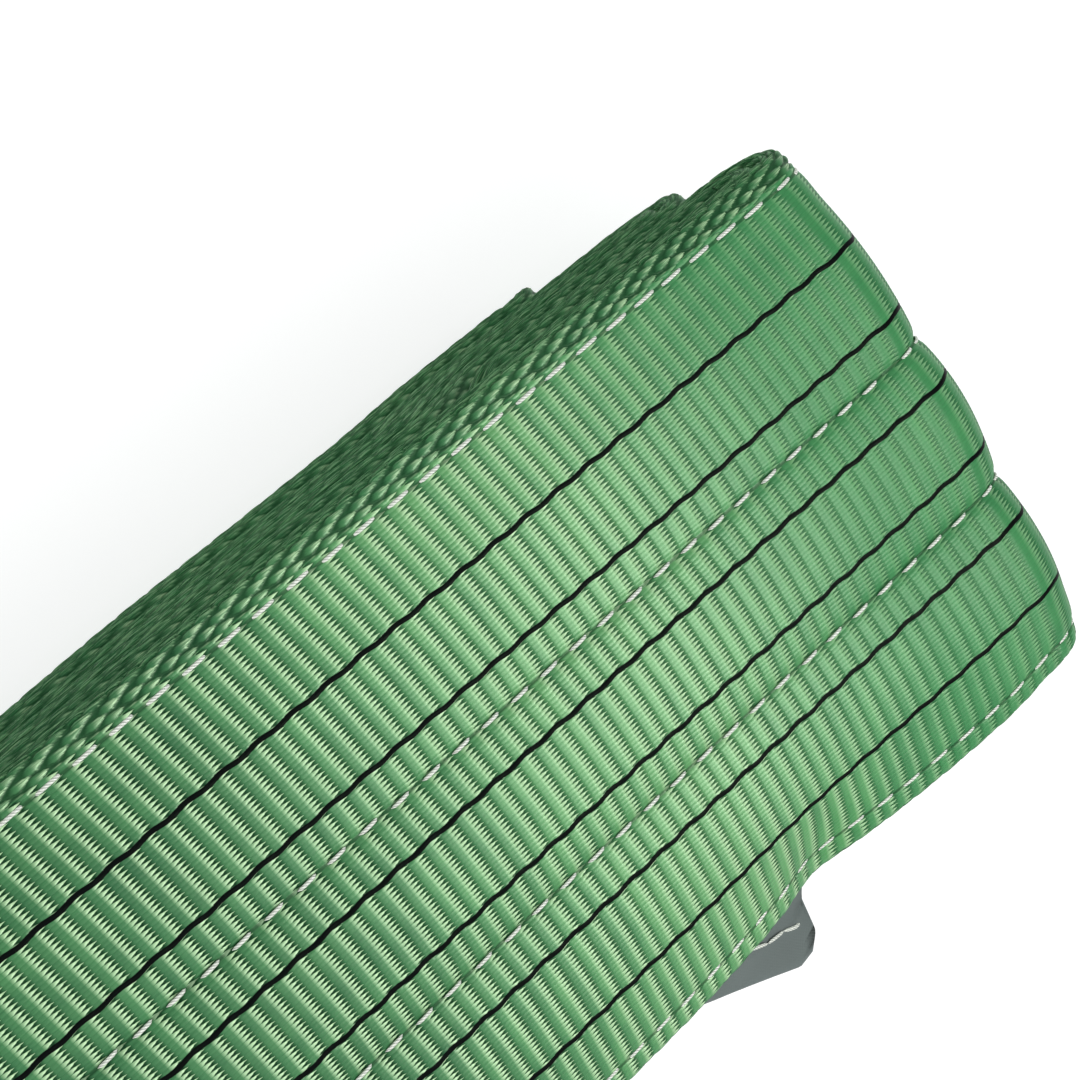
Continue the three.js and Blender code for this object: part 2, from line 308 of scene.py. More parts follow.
def ribbed_edge(q, phi, rib):
    """Relief of the -Y selvedge, as leaves(), but the ribs run on round it for a few columns. The
    fourth result is how far the leaves have taken over."""
    relief, dark, tip = leaves(q, phi)
    leafy = ease(q * LEAVES, 3.2, 4.8) + 0 * phi
    rib = rib - 0.12
    return rib + (relief - rib) * leafy, dark * leafy, tip * leafy, leafy


# ---------------------------------------------------------------- meshes


def add_object(name, points, faces, material, attributes):
    """A smooth object from points in mm, faces that all have as many corners, and attributes of
    its points."""
    mesh = bpy.data.meshes.new(name)
    mesh.vertices.add(len(points))
    mesh.vertices.foreach_set("co", (points * MM).astype(np.float32).ravel())
    mesh.loops.add(faces.size)
    mesh.loops.foreach_set("vertex_index", faces.astype(np.int32).ravel())
    mesh.polygons.add(len(faces))
    starts = np.arange(0, faces.size, faces.shape[1], dtype=np.int32)
    mesh.polygons.foreach_set("loop_start", starts)
    mesh.polygons.foreach_set("use_smooth", np.ones(len(faces), bool))
    for key, values in attributes.items():
        layer = mesh.attributes.new(key, "FLOAT_VECTOR", "POINT")
        layer.data.foreach_set("vector", values.astype(np.float32).ravel())
    mesh.update(calc_edges=True)
    mesh.validate()
    mesh.materials.append(material)
    obj = bpy.data.objects.new(name, mesh)
    bpy.context.scene.collection.objects.link(obj)
    return obj


def grid_faces(rows, cols, wrap, flip=False, first=0):
    """Quads over a rows by cols grid of vertices; wrap joins the last column to the first."""
    i = np.arange(rows - 1)[:, None]
    j = np.arange(cols if wrap else cols - 1)[None, :]
    k = (j + 1) % cols
    quad = np.stack([i * cols + j, i * cols + k, (i + 1) * cols + k, (i + 1) * cols + j], -1)
    quad = quad.reshape(-1, 4) + first
    return quad[:, ::-1] if flip else quad


def selvedge_outline(count):
    """Points round a selvedge, from the top of the face to the bottom of it, as q, w and height,
    and the outward direction at each in w and height."""
    a = np.linspace(0, math.pi, 400)
    w = HALF + (EDGE - HALF) * np.abs(np.sin(a)) ** 0.6
    h = PLY / 2 * np.sign(np.cos(a)) * np.abs(np.cos(a)) ** 0.6
    s = np.concatenate([[0], np.cumsum(np.hypot(np.diff(w), np.diff(h)))])
    q = np.linspace(0, 1, count)
    w, h = np.interp(q * s[-1], s, w), np.interp(q * s[-1], s, h)
    along_w, along_h = np.gradient(w), np.gradient(h)
    size = np.hypot(along_w, along_h)
    return q, w, h, -along_h / size, along_w / size


def ply_bands(phi, x, detailed, puff):
    """A ply's section at each phi, as four bands: its face, its -Y selvedge, its back and its +Y
    selvedge. Each is (w, height, dark, tip, leafy, place), where dark, tip and leafy are leaves'
    and ribbed_edge's results, and place counts the columns of leaves round a selvedge."""
    face_step = TOOTH / 4 if detailed else 2.0
    face_w = np.linspace(HALF, -HALF, round(2 * HALF / face_step) + 1)[None, 1:-1]
    relief = weave(phi, face_w) if detailed else plain_ribs(phi)
    relief = relief * (1 - 0.35 * ease(x, 185, 215))  # stretched smoother towards the far fold
    swell = puff + (0.35 * ease(x, 200, 224) if puff else 0)
    height = PLY / 2 - 0.15 + relief + seam_dip(face_w) + swell * channels(face_w)
    none = np.zeros(phi.shape)
    face = (face_w, height, none, none, 0.0, 0.0)

    q, edge_w, edge_h, out_w, out_h = selvedge_outline(59 if detailed else 27)
    edge_rise = 1 if detailed else 0.5
    rib = weave(phi, -edge_w[None, :]) if detailed else plain_ribs(phi) + 0 * edge_w
    relief, dark, tip, leafy = ribbed_edge(q[None, :], phi, rib)
    relief = relief * edge_rise
    w, height = edge_w + out_w * relief, edge_h + out_h * relief - 0.1
    ribbed = (-w, height, dark, tip, leafy, q * LEAVES)

    back_w = np.linspace(-HALF, HALF, 29)[None, 1:-1]
    back = (back_w, 0.20 - PLY / 2 - plain_ribs(phi), none, none, 0.0, LEAVES)

    relief, dark, tip = (v[:, ::-1] for v in leaves(q[None, :], phi + 0.7))
    relief = relief * edge_rise
    w, height = edge_w[::-1] + out_w[::-1] * relief, edge_h[::-1] + out_h[::-1] * relief - 0.1
    return [face, ribbed, back, (w, height, dark, tip, 1.0, q[::-1] * LEAVES)]


def ply(name, path, material, fine=False, part=(0.0, 1.0), puff=0.0):
    """One ply of webbing along a path, as a closed ring of vertices swept along it. part is the
    share of its ribs to make. Its outer face is to the left of the path."""
    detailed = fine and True
    ribs = 2 * max(1, round(path.length / RIB / 2))
    first, last = round(part[0] * ribs), round(part[1] * ribs)
    share = np.linspace(first, last, (last - first) * (10 if detailed else 4) + 1) / ribs
    phi = (0.5 + share * ribs)[:, None]
    x, z, nx, nz = (v[:, None] for v in path.at(share * path.length))

    bands = ply_bands(phi, x, detailed, puff)
    columns = [[] for _ in bands[0]]
    for band in bands:
        shape = (len(phi), np.broadcast(*band[:2]).shape[1])
        for column, values in zip(columns, band):
            column.append(np.broadcast_to(values, shape))
    w, height, dark, tip, leafy, place = (np.concatenate(column, 1) for column in columns)
    points = settle(np.stack([x + nx * height, w, z + nz * height], -1)).reshape(-1, 3)
    web = np.stack([np.broadcast_to(phi, w.shape), w, leafy], -1).reshape(-1, 3)
    # edge carries the selvedges' painted shade, painted highlight and column count
    edge = np.stack([dark, tip, place], -1).reshape(-1, 3)
    faces = grid_faces(len(phi), w.shape[1], True)
    return add_object(name, points, faces, material, {"web": web, "edge": edge})


def tubes(name, centres, across, up, radius, sides=8):
    """Short tapering lengths of thread. centres is (n, k, 3), and across and up are unit vectors
    of the same shape. The strand attribute is the distance along and the angle round the thread."""
    n, k = centres.shape[:2]
    t = np.linspace(-1, 1, k)[None, :, None]
    r = radius * (0.15 + 0.85 * np.sqrt(1 - np.abs(t) ** 4))
    a = np.linspace(-0.5 * math.pi, 1.5 * math.pi, sides, endpoint=False)[None, None, :]
    ring = (
        centres[:, :, None, :]
        + across[:, :, None, :] * (r * np.cos(a))[..., None]
        + up[:, :, None, :] * (r * 0.8 * np.sin(a))[..., None]
    )
    length = np.linalg.norm(centres[:, -1] - centres[:, 0], axis=1)[:, None, None]
    strand = np.stack(np.broadcast_arrays(t * length / 2, a + 0 * length, 0 * t * length), -1)
    faces = grid_faces(k, sides, True)[None] + (np.arange(n) * k * sides)[:, None, None]
    points = settle(ring.reshape(-1, 3))
    return add_object(name, points, faces.reshape(-1, 4), THREAD, {"strand": strand.reshape(-1, 3)})


def stitch_rows(name, path, height, first=0.0, last=1.0, fine=False, outer=0.0):
    """The four seams' rows of stitches along a path, at the given height above it. The two outer
    rows stand higher by outer, since the web is drawn in less there."""
    along = np.linspace(-1, 1, 9 if fine else 5)[None, :]
    centres, acrosses, ups = [], [], []
    for line, (pitch, dash) in zip(SEAMS, STITCHES):
        count = int((last - first) * path.length / pitch)
        at = first * path.length + (np.arange(count) + 0.5) * pitch + RNG.normal(0, 0.07, count)
        s = np.clip(at[:, None] + along * dash / 2, 0.01, path.length - 0.01)
        x, z, nx, nz = path.at(s)
        w = line + 0.07 * along + RNG.normal(0, 0.04, count)[:, None]
        rise = height + outer * (line in (SEAMS[0], SEAMS[-1])) - 0.30 * np.abs(along) ** 4
        centres.append(np.stack([x + nx * rise, w, z + nz * rise], -1))
        acrosses.append(np.stack([0 * x, 0 * x + 1, 0 * x], -1))
        ups.append(np.stack([nx, 0 * nx, nz], -1))
    centres, acrosses, ups = (np.concatenate(part) for part in (centres, acrosses, ups))
    return tubes(name, centres, acrosses, ups, 0.18, 10 if fine else 6)


# ---------------------------------------------------------------- materials

GREEN = (0.060, 0.250, 0.088, 1)
GREEN_LOW_AND_SHADE = (0.028, 0.140, 0.052, 1)  # painted shade on the floats' rising halves and the near web, with the yarn's darker fibres
GREEN_PALE_AND_HIGHLIGHT = (0.118, 0.350, 0.122, 1)  # painted highlight on their falling halves, with paler patches of the yarn
GREEN_TIP_HIGHLIGHT = (0.530, 0.760, 0.430, 1)  # painted highlight on their pointed ends and on the selvedges' floats
GREEN_FAR_SHADED = (0.052, 0.330, 0.106, 1)  # painted shade: the deeper green of the smooth web at the far folds
GREEN_GAP_SHADE = (0.005, 0.034, 0.012, 1)  # painted shade between the floats, in the seams' creases and under the selvedges' floats
MARK = (0.004, 0.005, 0.005, 1)
GREEN_GLOSS = (0.74, 1.0, 0.68, 1)
# THREAD_SHADE is painted shade in the grooves between a thread's strands
THREAD_WHITE, THREAD_SHADE = (0.90, 0.92, 0.83, 1), (0.42, 0.45, 0.38, 1)
SLEEVE_DARK, SLEEVE_PALE = (0.112, 0.138, 0.130, 1), (0.160, 0.190, 0.182, 1)
SLEEVE_THREAD = (0.26, 0.29, 0.285, 1)
BLUE_DARK, BLUE_PALE = (0.018, 0.085, 0.30, 1), (0.028, 0.12, 0.40, 1)
FILM_CLEAR = (0.9, 0.95, 0.97, 1)
GREY, WHITE = (0.40, 0.40, 0.40, 1), (1, 1, 1, 1)


class Value:
    """An output in a material's node tree. Arithmetic on it adds maths nodes."""

    def __init__(self, net, socket):
        self.net, self.socket = net, socket

    def __add__(self, other):
        return self.net.math("ADD", self, other)

    def __sub__(self, other):
        return self.net.math("SUBTRACT", self, other)

    def __rsub__(self, other):
        return self.net.math("SUBTRACT", other, self)

    def __mul__(self, other):
        return self.net.math("MULTIPLY", self, other)

    def __truediv__(self, other):
        return self.net.math("DIVIDE", self, other)

    def __pow__(self, power):
        return self.net.math("POWER", self, power)

    def __abs__(self):
        return self.net.math("ABSOLUTE", self)

    __radd__ = __add__
    __rmul__ = __mul__


class Net:
    """A material's node tree, with short ways to add nodes."""

    def __init__(self, name):
        self.material = bpy.data.materials.new(name)
        self.material.use_nodes = True
        self.nodes = self.material.node_tree.nodes
        self.links = self.material.node_tree.links
        self.nodes.clear()
        self.bsdf = self.nodes.new("ShaderNodeBsdfPrincipled")
        out = self.nodes.new("ShaderNodeOutputMaterial")
        self.links.new(self.bsdf.outputs[0], out.inputs[0])

    def put(self, socket, value):
        if isinstance(value, Value):
            self.links.new(value.socket, socket)
        else:
            socket.default_value = value

    def set(self, **inputs):
        for key, value in inputs.items():
            self.put(self.bsdf.inputs[key.replace("_", " ")], value)

    def math(self, operation, *values, clamp=False):
        node = self.nodes.new("ShaderNodeMath")
        node.operation = operation
        node.use_clamp = clamp
        for socket, value in zip(node.inputs, values):
            self.put(socket, value)
        return Value(self, node.outputs[0])

    def largest(self, first, *others):
        for other in others:
            first = self.math("MAXIMUM", first, other)
        return first

    def attribute(self, name):
        node = self.nodes.new("ShaderNodeAttribute")
        node.attribute_name = name
        return Value(self, node.outputs["Vector"])

    def position(self):
        return Value(self, self.nodes.new("ShaderNodeTexCoord").outputs["Object"])

    def facing(self):
        """0 where the surface faces the eye and 1 where it is seen edge on."""
        return Value(self, self.nodes.new("ShaderNodeLayerWeight").outputs["Facing"])

    def split(self, vector):
        node = self.nodes.new("ShaderNodeSeparateXYZ")
        self.put(node.inputs[0], vector)
        return [Value(self, socket) for socket in node.outputs]

    def join(self, x, y, z):
        node = self.nodes.new("ShaderNodeCombineXYZ")
        for socket, value in zip(node.inputs, (x, y, z)):
            self.put(socket, value)
        return Value(self, node.outputs[0])

    def noise(self, vector, scale, detail=2.0, rough=0.5):
        node = self.nodes.new("ShaderNodeTexNoise")
        self.put(node.inputs["Vector"], vector)
        node.inputs["Scale"].default_value = scale
        node.inputs["Detail"].default_value = detail
        node.inputs["Roughness"].default_value = rough
        return Value(self, node.outputs["Fac"])

    def ramp(self, value, low, high, to_low=0.0, to_high=1.0):
        node = self.nodes.new("ShaderNodeMapRange")
        node.clamp = True
        for key, v in (("Value", value), ("From Min", low), ("From Max", high),
                       ("To Min", to_low), ("To Max", to_high)):
            self.put(node.inputs[key], v)
        return Value(self, node.outputs[0])

    def mix(self, factor, a, b):
        node = self.nodes.new("ShaderNodeMix")
        node.data_type = "RGBA"
        self.put(node.inputs["Factor"], factor)
        self.put(node.inputs["A"], a)
        self.put(node.inputs["B"], b)
        return Value(self, node.outputs["Result"])

    def bump(self, height, distance, strength):
        node = self.nodes.new("ShaderNodeBump")
        node.inputs["Strength"].default_value = strength
        node.inputs["Distance"].default_value = distance
        self.put(node.inputs["Height"], height)
        self.put(self.bsdf.inputs["Normal"], Value(self, node.outputs[0]))


def float_on_top(n, phi, w):
    """How far along and how far across the float on top each point is, as in floats()."""
    t = w / TOOTH
    rib = n.math("FLOOR", phi)
    zigzag = 1.0 - 4.0 * n.math("PINGPONG", t, 0.5)
    reach = TAPER - 2.0 * TAPER * n.math("FLOORED_MODULO", rib, 2.0)
    over = n.math("GREATER_THAN", phi - rib, reach * zigzag + 0.5)
    along = phi - rib - over
    half = (0.5 + TAPER - abs(along)) / (4 * TAPER)
    half = n.math("MINIMUM", n.math("MAXIMUM", half, 0.01), 0.5)
    turn = n.math("FLOORED_MODULO", rib + over, 2.0)
    return along, n.math("DIVIDE", n.math("PINGPONG", turn * 0.5 + t, 0.5), half, clamp=True)


def marker_ends(n, phi, w):
    """1 on the six dark marker ends, which lie along stripe_line()."""
    k = n.math("FLOOR", (w - STRIPE_SHIFT) / STRIPE_PITCH) + 0.5
    line = k * STRIPE_PITCH + STRIPE_SHIFT + WAVER * n.math("SINE", phi * math.pi + k * 1.3)
    on_thread = n.ramp(abs(w - line), STRIPE_HALF - 0.05, STRIPE_HALF, 1.0, 0.0)
    return on_thread * n.math("LESS_THAN", abs(k), STRIPES / 2 - 0.1)


class WebPattern:
    """The webbing's pattern: where each point is on its float, and its painted shade and painted
    highlight.
    """

    def __init__(self, n):
        self.phi, self.w, self.leafy = n.split(n.attribute("web"))
        edge_dark, edge_tip, place = n.split(n.attribute("edge"))
        self.face = 1.0 - self.leafy
        self.wall = n.ramp(place, 3.0, 5.0) * self.leafy
        self.along, self.across = float_on_top(n, self.phi, self.w)
        self.mark = marker_ends(n, self.phi, self.w) * self.face
        x = n.split(n.position())[0]
        self.highlight_zone = n.ramp(x, 0.138, 0.172)  # painted highlight on the web from here on, painted shade before it
        self.far = n.ramp(x, 0.186, 0.212)  # and is stretched smooth and painted darker towards the far folds
        across_filaments = n.join(self.phi * 0.8, self.w * 8.0, self.leafy)
        self.filaments = n.noise(across_filaments, 2.2, 3.0, 0.6)
        round_edge = n.join(self.phi * 0.30, place * 2.35, self.leafy * 3.0)
        self.streaks = n.noise(round_edge, 1.6, 3.0, 0.7)

        # painted shade: each float's start where it dives under, the gaps between the floats, the
        # creases along the seams and the gaps between the wall's strands are painted dark
        start = n.ramp(self.along, -0.20, -0.44) * (1.0 - 0.28 * self.highlight_zone - 0.30 * self.far)
        gap = 0.12 + 0.55 * n.ramp(abs(self.along), 0.2, 0.45)
        gap = gap * n.ramp(self.across, 0.72, 1.0)
        seam_crease_shade = sum(n.ramp(abs(self.w - seam), 0.10, 0.24, 0.7, 0.0) for seam in SEAMS)
        wall_gap_shade = n.ramp(self.streaks, 0.53, 0.43, 0.0, 0.80) * self.wall
        dark = n.largest(start, gap, seam_crease_shade) * self.face
        self.dark = n.largest(dark, edge_dark * self.leafy, wall_gap_shade)

        # painted highlight: the floats' pointed ends, the selvedge floats' tips and the wall's
        # strand streaks are painted bright, less so towards the far folds
        end = n.ramp(self.along, 0.08, 0.42) * n.ramp(self.across, 1.0, 0.72)
        end = end * (1.0 - 0.55 * self.far)
        edge_tip = edge_tip * n.ramp(self.streaks, 0.40, 0.62, 0.15, 1.0)
        wall_highlight = n.ramp(self.streaks, 0.50, 0.64, 0.0, 0.40) * self.wall
        bright = (end * self.face + edge_tip * self.leafy) * (1.0 - 0.7 * self.wall)
        self.bright = n.largest(bright, wall_highlight)


def web_colour(n, p):
    row = n.noise(n.join((p.phi - p.along) * 3.7, p.w * 0.10, p.leafy), 1.0, 2.0)
    cloud = n.noise(n.join(p.phi * 0.05, p.w * 0.09, p.leafy), 3.0, 3.0)
    # painted shade and highlight: each float is painted darker on its rising half and lighter on
    # its falling half; the filaments are the yarn's own tone
    shade = 0.75 * p.filaments + 0.45 * n.ramp(p.along, -0.35, 0.45) * p.face
    # painted highlight over the middle of the top run, painted shade on its near part and towards
    # the far folds; the rows differ at random, and the wall is made lighter
    shade = shade + 0.28 * p.highlight_zone * (1.0 - 0.9 * p.far) * p.face - 0.26 * (1.0 - p.highlight_zone)
    shade = shade + n.ramp(row, 0.3, 0.7, -0.16, 0.16) + 0.35 * p.wall - 0.14 * p.far
    green = n.mix(n.ramp(shade, 0.15, 0.75), GREEN_LOW_AND_SHADE, GREEN)
    green = n.mix(n.ramp(shade, 0.6, 0.95) * p.face, green, GREEN_PALE_AND_HIGHLIGHT)
    green = n.mix(n.ramp(cloud, 0.35, 0.75, 0.0, 0.30), green, GREEN_PALE_AND_HIGHLIGHT)
    # painted highlight on the floats' tips
    green = n.mix(0.95 * p.bright, green, GREEN_TIP_HIGHLIGHT)
    # painted shade: the deeper green towards the far folds
    green = n.mix(0.35 * p.far * p.face, green, GREEN_FAR_SHADED)
    # painted shade between the floats and in the creases
    green = n.mix(0.93 * p.dark, green, GREEN_GAP_SHADE)
    return n.mix(p.mark, green, MARK)


def web_gloss(n, p):
    """The floats' own shine: none between them, on the marker ends or where seen edge on."""
    calm = 1.0 - n.largest(p.mark, 0.8 * p.dark)
    return calm * (1.0 - 0.9 * p.wall) * (1.0 - 0.55 * p.far) * n.ramp(n.facing(), 0.90, 0.60)


def web_relief(n, p, fine):
    """Relief too small for the mesh, in mm. fine says that the mesh has the floats already."""
    relief = 0.008 * p.filaments + 0.35 * p.streaks * p.wall - 0.02 * p.across**2.0 * p.face
    if not fine:
        from_rib = n.math("PINGPONG", p.phi, 0.5)
        cubes = from_rib**3.0 - abs(p.along) ** 3.0
        relief = relief + cubes * (RISE / (0.5 + TAPER) ** 3) * p.face
    return relief


def web_material(name, fine):
    """Green polyester webbing with six dark marker ends. The single floats are coloured here, with
    painted shade and painted highlights, and where the mesh carries only the ribs their relief is
    added too."""
    n = Net(name)
    p = WebPattern(n)
    n.set(Base_Color=web_colour(n, p), Roughness=n.ramp(p.filaments, 0.2, 0.8, 0.34, 0.46))
    n.set(Specular_IOR_Level=0.25 * web_gloss(n, p) + 0.01, Specular_Tint=GREEN_GLOSS)
    n.set(Anisotropic=0.75, Tangent=n.join(0.0, 1.0, 0.0))
    n.bump(web_relief(n, p, fine), MM, 0.9)
    return n.material


def thread_material():
    """White polyester thread of three twisted strands, with painted shade in the grooves between
    them.
    """
    n = Net("thread")
    along, angle, _ = n.split(n.attribute("strand"))
    twist = n.math("SINE", angle * 3.0 - along * 15.0)
    # painted shade where the twist runs into the grooves between the strands
    strand = n.ramp(0.5 * n.noise(n.position(), 2600) + twist, -0.9, 0.6)
    n.set(Base_Color=n.mix(strand, THREAD_SHADE, THREAD_WHITE), Roughness=0.5)
    n.bump(strand, 0.00006, 0.9)
    return n.material


def crossed(n, at, pitch):
    """The over and under of a plain woven cloth, from -1 to 1."""
    x, y, _ = n.split(at)
    turns = 2 * math.pi / (pitch * MM)
    return n.math("SINE", x * turns) * n.math("SINE", y * turns)


def sleeve_material():
    n = Net("sleeve_cloth")
    at = n.position()
    cloth = crossed(n, at, 0.42)
    cloud = n.noise(at, 90, 4.0)
    grey = n.mix(cloud, SLEEVE_DARK, SLEEVE_PALE)
    grey = n.mix(n.ramp(cloth, -1.0, 1.0, 0.0, 0.05), grey, SLEEVE_THREAD)
    n.set(Base_Color=grey, Roughness=0.8, Specular_IOR_Level=0.2)
    n.bump(cloud * 12.0 + cloth, 0.00001, 0.8)
    return n.material


def label_material():
    n = Net("label_cloth")
    at = n.position()
    n.set(Base_Color=n.mix(n.noise(at, 120, 3.0), BLUE_DARK, BLUE_PALE), Roughness=0.42)
    n.bump(crossed(n, at, 0.698), 0.00004, 0.6)
    return n.material


def film_material():
    n = Net("clear_film")
    n.set(Base_Color=FILM_CLEAR, Roughness=0.12, Transmission_Weight=0.9, IOR=1.3, Alpha=0.35)
    n.bump(n.noise(n.position(), 60), 0.0004, 0.5)
    return n.material


FINE = web_material("web_fine", True)
WOVEN = web_material("web_ribbed", False)
THREAD = thread_material()
CLOTH = sleeve_material()
LABEL = label_material()
FILM = film_material()

# ---------------------------------------------------------------- the webbing

RUN_PATHS = {
    1: run_path(EYE_A[1], FOLD_X[1] - LEAD, (Z1, Z1), STEP),
    2: run_path(FOLD_X[2] + LEAD, FOLD_X[1] - LEAD, Z2, TOP_STEP),
    3: run_path(FOLD_X[2] + LEAD, FOLD_X[3] - LEAD, Z3, STEP),
    4: run_path(FOLD_X[4] + LEAD, FOLD_X[3] - LEAD, Z4, STEP),
    5: run_path(FOLD_X[4] + LEAD, FOLD_X[5] - LEAD, Z5, STEP),
    6: run_path(EYE_B[1], FOLD_X[5] - LEAD, (Z6, Z6), STEP),
}
RUN_BODY = {1: "run_1_and_eye_a", 2: "run_2", 3: "run_3", 4: "run_4", 5: "run_5", 6: "run_6"}
FOLDS = {
    # number: lower run's height, upper run's height, lower run, upper run, ply A inside
    1: (Z1, Z2[0], 1, 2, False),
    2: (Z3[1], Z2[1], 3, 2, False),
    3: (Z4[0], Z3[0], 4, 3, True),
    4: (Z5[1], Z4[1], 5, 4, False),
    5: (Z6, Z5[0], 6, 5, True),
}


def finish_piece(obj, body, nodes=()):
    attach(obj, body)
    if nodes:
        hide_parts(*nodes)


def bend_round_fold(obj, number, reach):
    """Bakes a piece's place into its mesh; the points reach above and below the fold's middle go
    unused.
    """
    low, high, lower, upper, _ = FOLDS[number]
    start, end = (Vector((FOLD_X[number], 0, (low + high) / 2 + d)) * MM for d in (-reach, reach))
    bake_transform(obj)


def fold_path(number, out):
    """Round a fold, at a distance out past the middle of its web."""
    low, high = FOLDS[number][:2]
    side = 1 if number % 2 else -1
    return half_circle(FOLD_X[number], (low + high) / 2, (high - low) / 2 + out, side)


def fine_share(path):
    """The share of the top run's path that lies before FINE_FROM."""
    return 1 - (FOLD_X[1] - FINE_FROM) / path.length


def add_top_ply(node, path, body):
    """The upper ply of the top run: ribs alone where it is near, then whole floats."""
    cut = fine_share(path)
    coarse = ply(f"{node}_woven", path, WOVEN, part=(0, cut), puff=PUFF)
    finish_piece(coarse, body, [node])
    parts = [cut + (1 - cut) * i / FINE_PIECES for i in range(FINE_PIECES + 1)]
    for i, part in enumerate(zip(parts[:-1], parts[1:])):
        piece = ply(f"{node}_fine_{i + 1}", path, FINE, True, part, PUFF)
        finish_piece(piece, body)


def add_runs():
    for number, path in RUN_PATHS.items():
        body = RUN_BODY[number]
        upper, lower = ("a", "b") if number % 2 == 0 else ("b", "a")
        top, under = path.offset(PLY_OFFSET), path.offset(-PLY_OFFSET).reversed()
        node = f"ply_{upper}_run_{number}"
        if number == 2:
            add_top_ply(node, top, body)
        else:
            finish_piece(ply(f"{node}_woven", top, WOVEN), body, [node])
        node = f"ply_{lower}_run_{number}"
        finish_piece(ply(f"{node}_woven", under, WOVEN), body, [node])


def add_folds():
    for number, (low, high, _, _, a_inside) in FOLDS.items():
        for inside in (False, True):
            letter = "a" if inside == a_inside else "b"
            out = -PLY_OFFSET if inside else PLY_OFFSET
            node = f"ply_{letter}_fold_{number}"
            fine = number == 1 and not inside
            obj = ply(f"{node}_woven", fold_path(number, out), FINE if fine else WOVEN, fine,
                      puff=0.0 if inside else PUFF)
            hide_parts(node)
            bend_round_fold(obj, number, max((high - low) / 2 + out - PLY / 2, 0.3))


def add_seams():
    top = RUN_PATHS[2].offset(WEB / 2)
    cut = fine_share(top)
    far = stitch_rows("run_2_stitches_far", top, -0.04, first=cut, fine=True, outer=0.1)
    finish_piece(far, "run_2", [f"run_2_seam_thread_{i}" for i in (1, 2, 3, 4)])
    near = stitch_rows("run_2_stitches_near", top, -0.04, last=cut, outer=0.1)
    finish_piece(near, "run_2")
    for number, path in RUN_PATHS.items():
        faces = {"under": path.offset(-WEB / 2).reversed()}
        if number != 2:
            faces["over"] = path.offset(WEB / 2)
        for face, line in faces.items():
            rows = stitch_rows(f"run_{number}_stitches_{face}", line, -0.02)
            finish_piece(rows, RUN_BODY[number])
    for number, (low, high, _, _, _) in FOLDS.items():
        path = fold_path(number, WEB / 2)
        rows = stitch_rows(f"fold_{number}_stitches", path, -0.34, fine=number == 1, outer=0.3)
        bend_round_fold(rows, number, (high - low) / 2 + WEB / 2 - PLY)


# ---------------------------------------------------------------- eyes and sleeves

HEM_EDGE = -38.0  # the sleeve is a sheet folded round at +Y and sewn together along -Y
HEM_SEAM = -33.2
ROUND_FROM = 28.6  # where the sheet starts to turn over at +Y
ROUND_REACH = 1.6
WEB_EDGE = -28.0  # the loop's own edge inside it, at -Y
CUFF = 16  # how far from its mouth eye A's hem is flared


def flared(points, mouth, z):
    """Draws in the hem of eye A's sleeve along its length and lets it stand out at the mouth, with
    the two legs' hems pressed together."""
    x, y, pz = points[..., 0], points[..., 1], points[..., 2]
    out = WEB_EDGE - y
    past = np.maximum(out, 0)
    near = ease(x, mouth - CUFF, mouth)
    reach = 0.34 + 0.66 * np.clip((x - (mouth - CUFF)) / 14, 0, 1)
    forward = 3.9 - 0.16 * past - 1.4 * ease(past, 8.5, 10) ** 2
    pinch = np.where(pz > z, -0.9, 3.3) * ease(past, 0, 6)
    return np.stack([x + near * forward, np.where(out > 0, WEB_EDGE - out * reach, y),
                     pz + near * pinch], -1)


def wavy_hem(x, y):
    """How far eye B's hem wanders from side to side."""
    return 0.8 * np.sin(x / 19.0 + 1.0) * ease(y, -30, -36)


def sleeve_section():
    """One leg's section of a sleeve as rings of y and height: from the hem's edge over the outer
    sheet to the folded edge, and back underneath."""
    turn = ROUND_FROM + ROUND_REACH * np.sin(np.linspace(0.2, 1.57, 6))
    y = np.concatenate([np.linspace(HEM_EDGE, HEM_SEAM - 0.2, 17), np.linspace(-33.0, -30.8, 6),
                        np.linspace(-29.5, ROUND_FROM, 28), turn])
    lift = 0.52 + 1.63 * ease(y, HEM_SEAM, HEM_SEAM + 2.8)
    lift = lift * np.sqrt(1 - np.clip((y - ROUND_FROM) / ROUND_REACH, 0, 1) ** 2)
    lift[0] = 0.15
    ring = (np.concatenate([y, y[::-1][1:]]), np.concatenate([lift, -lift[::-1][1:]]))
    return [v[None, :] for v in ring]


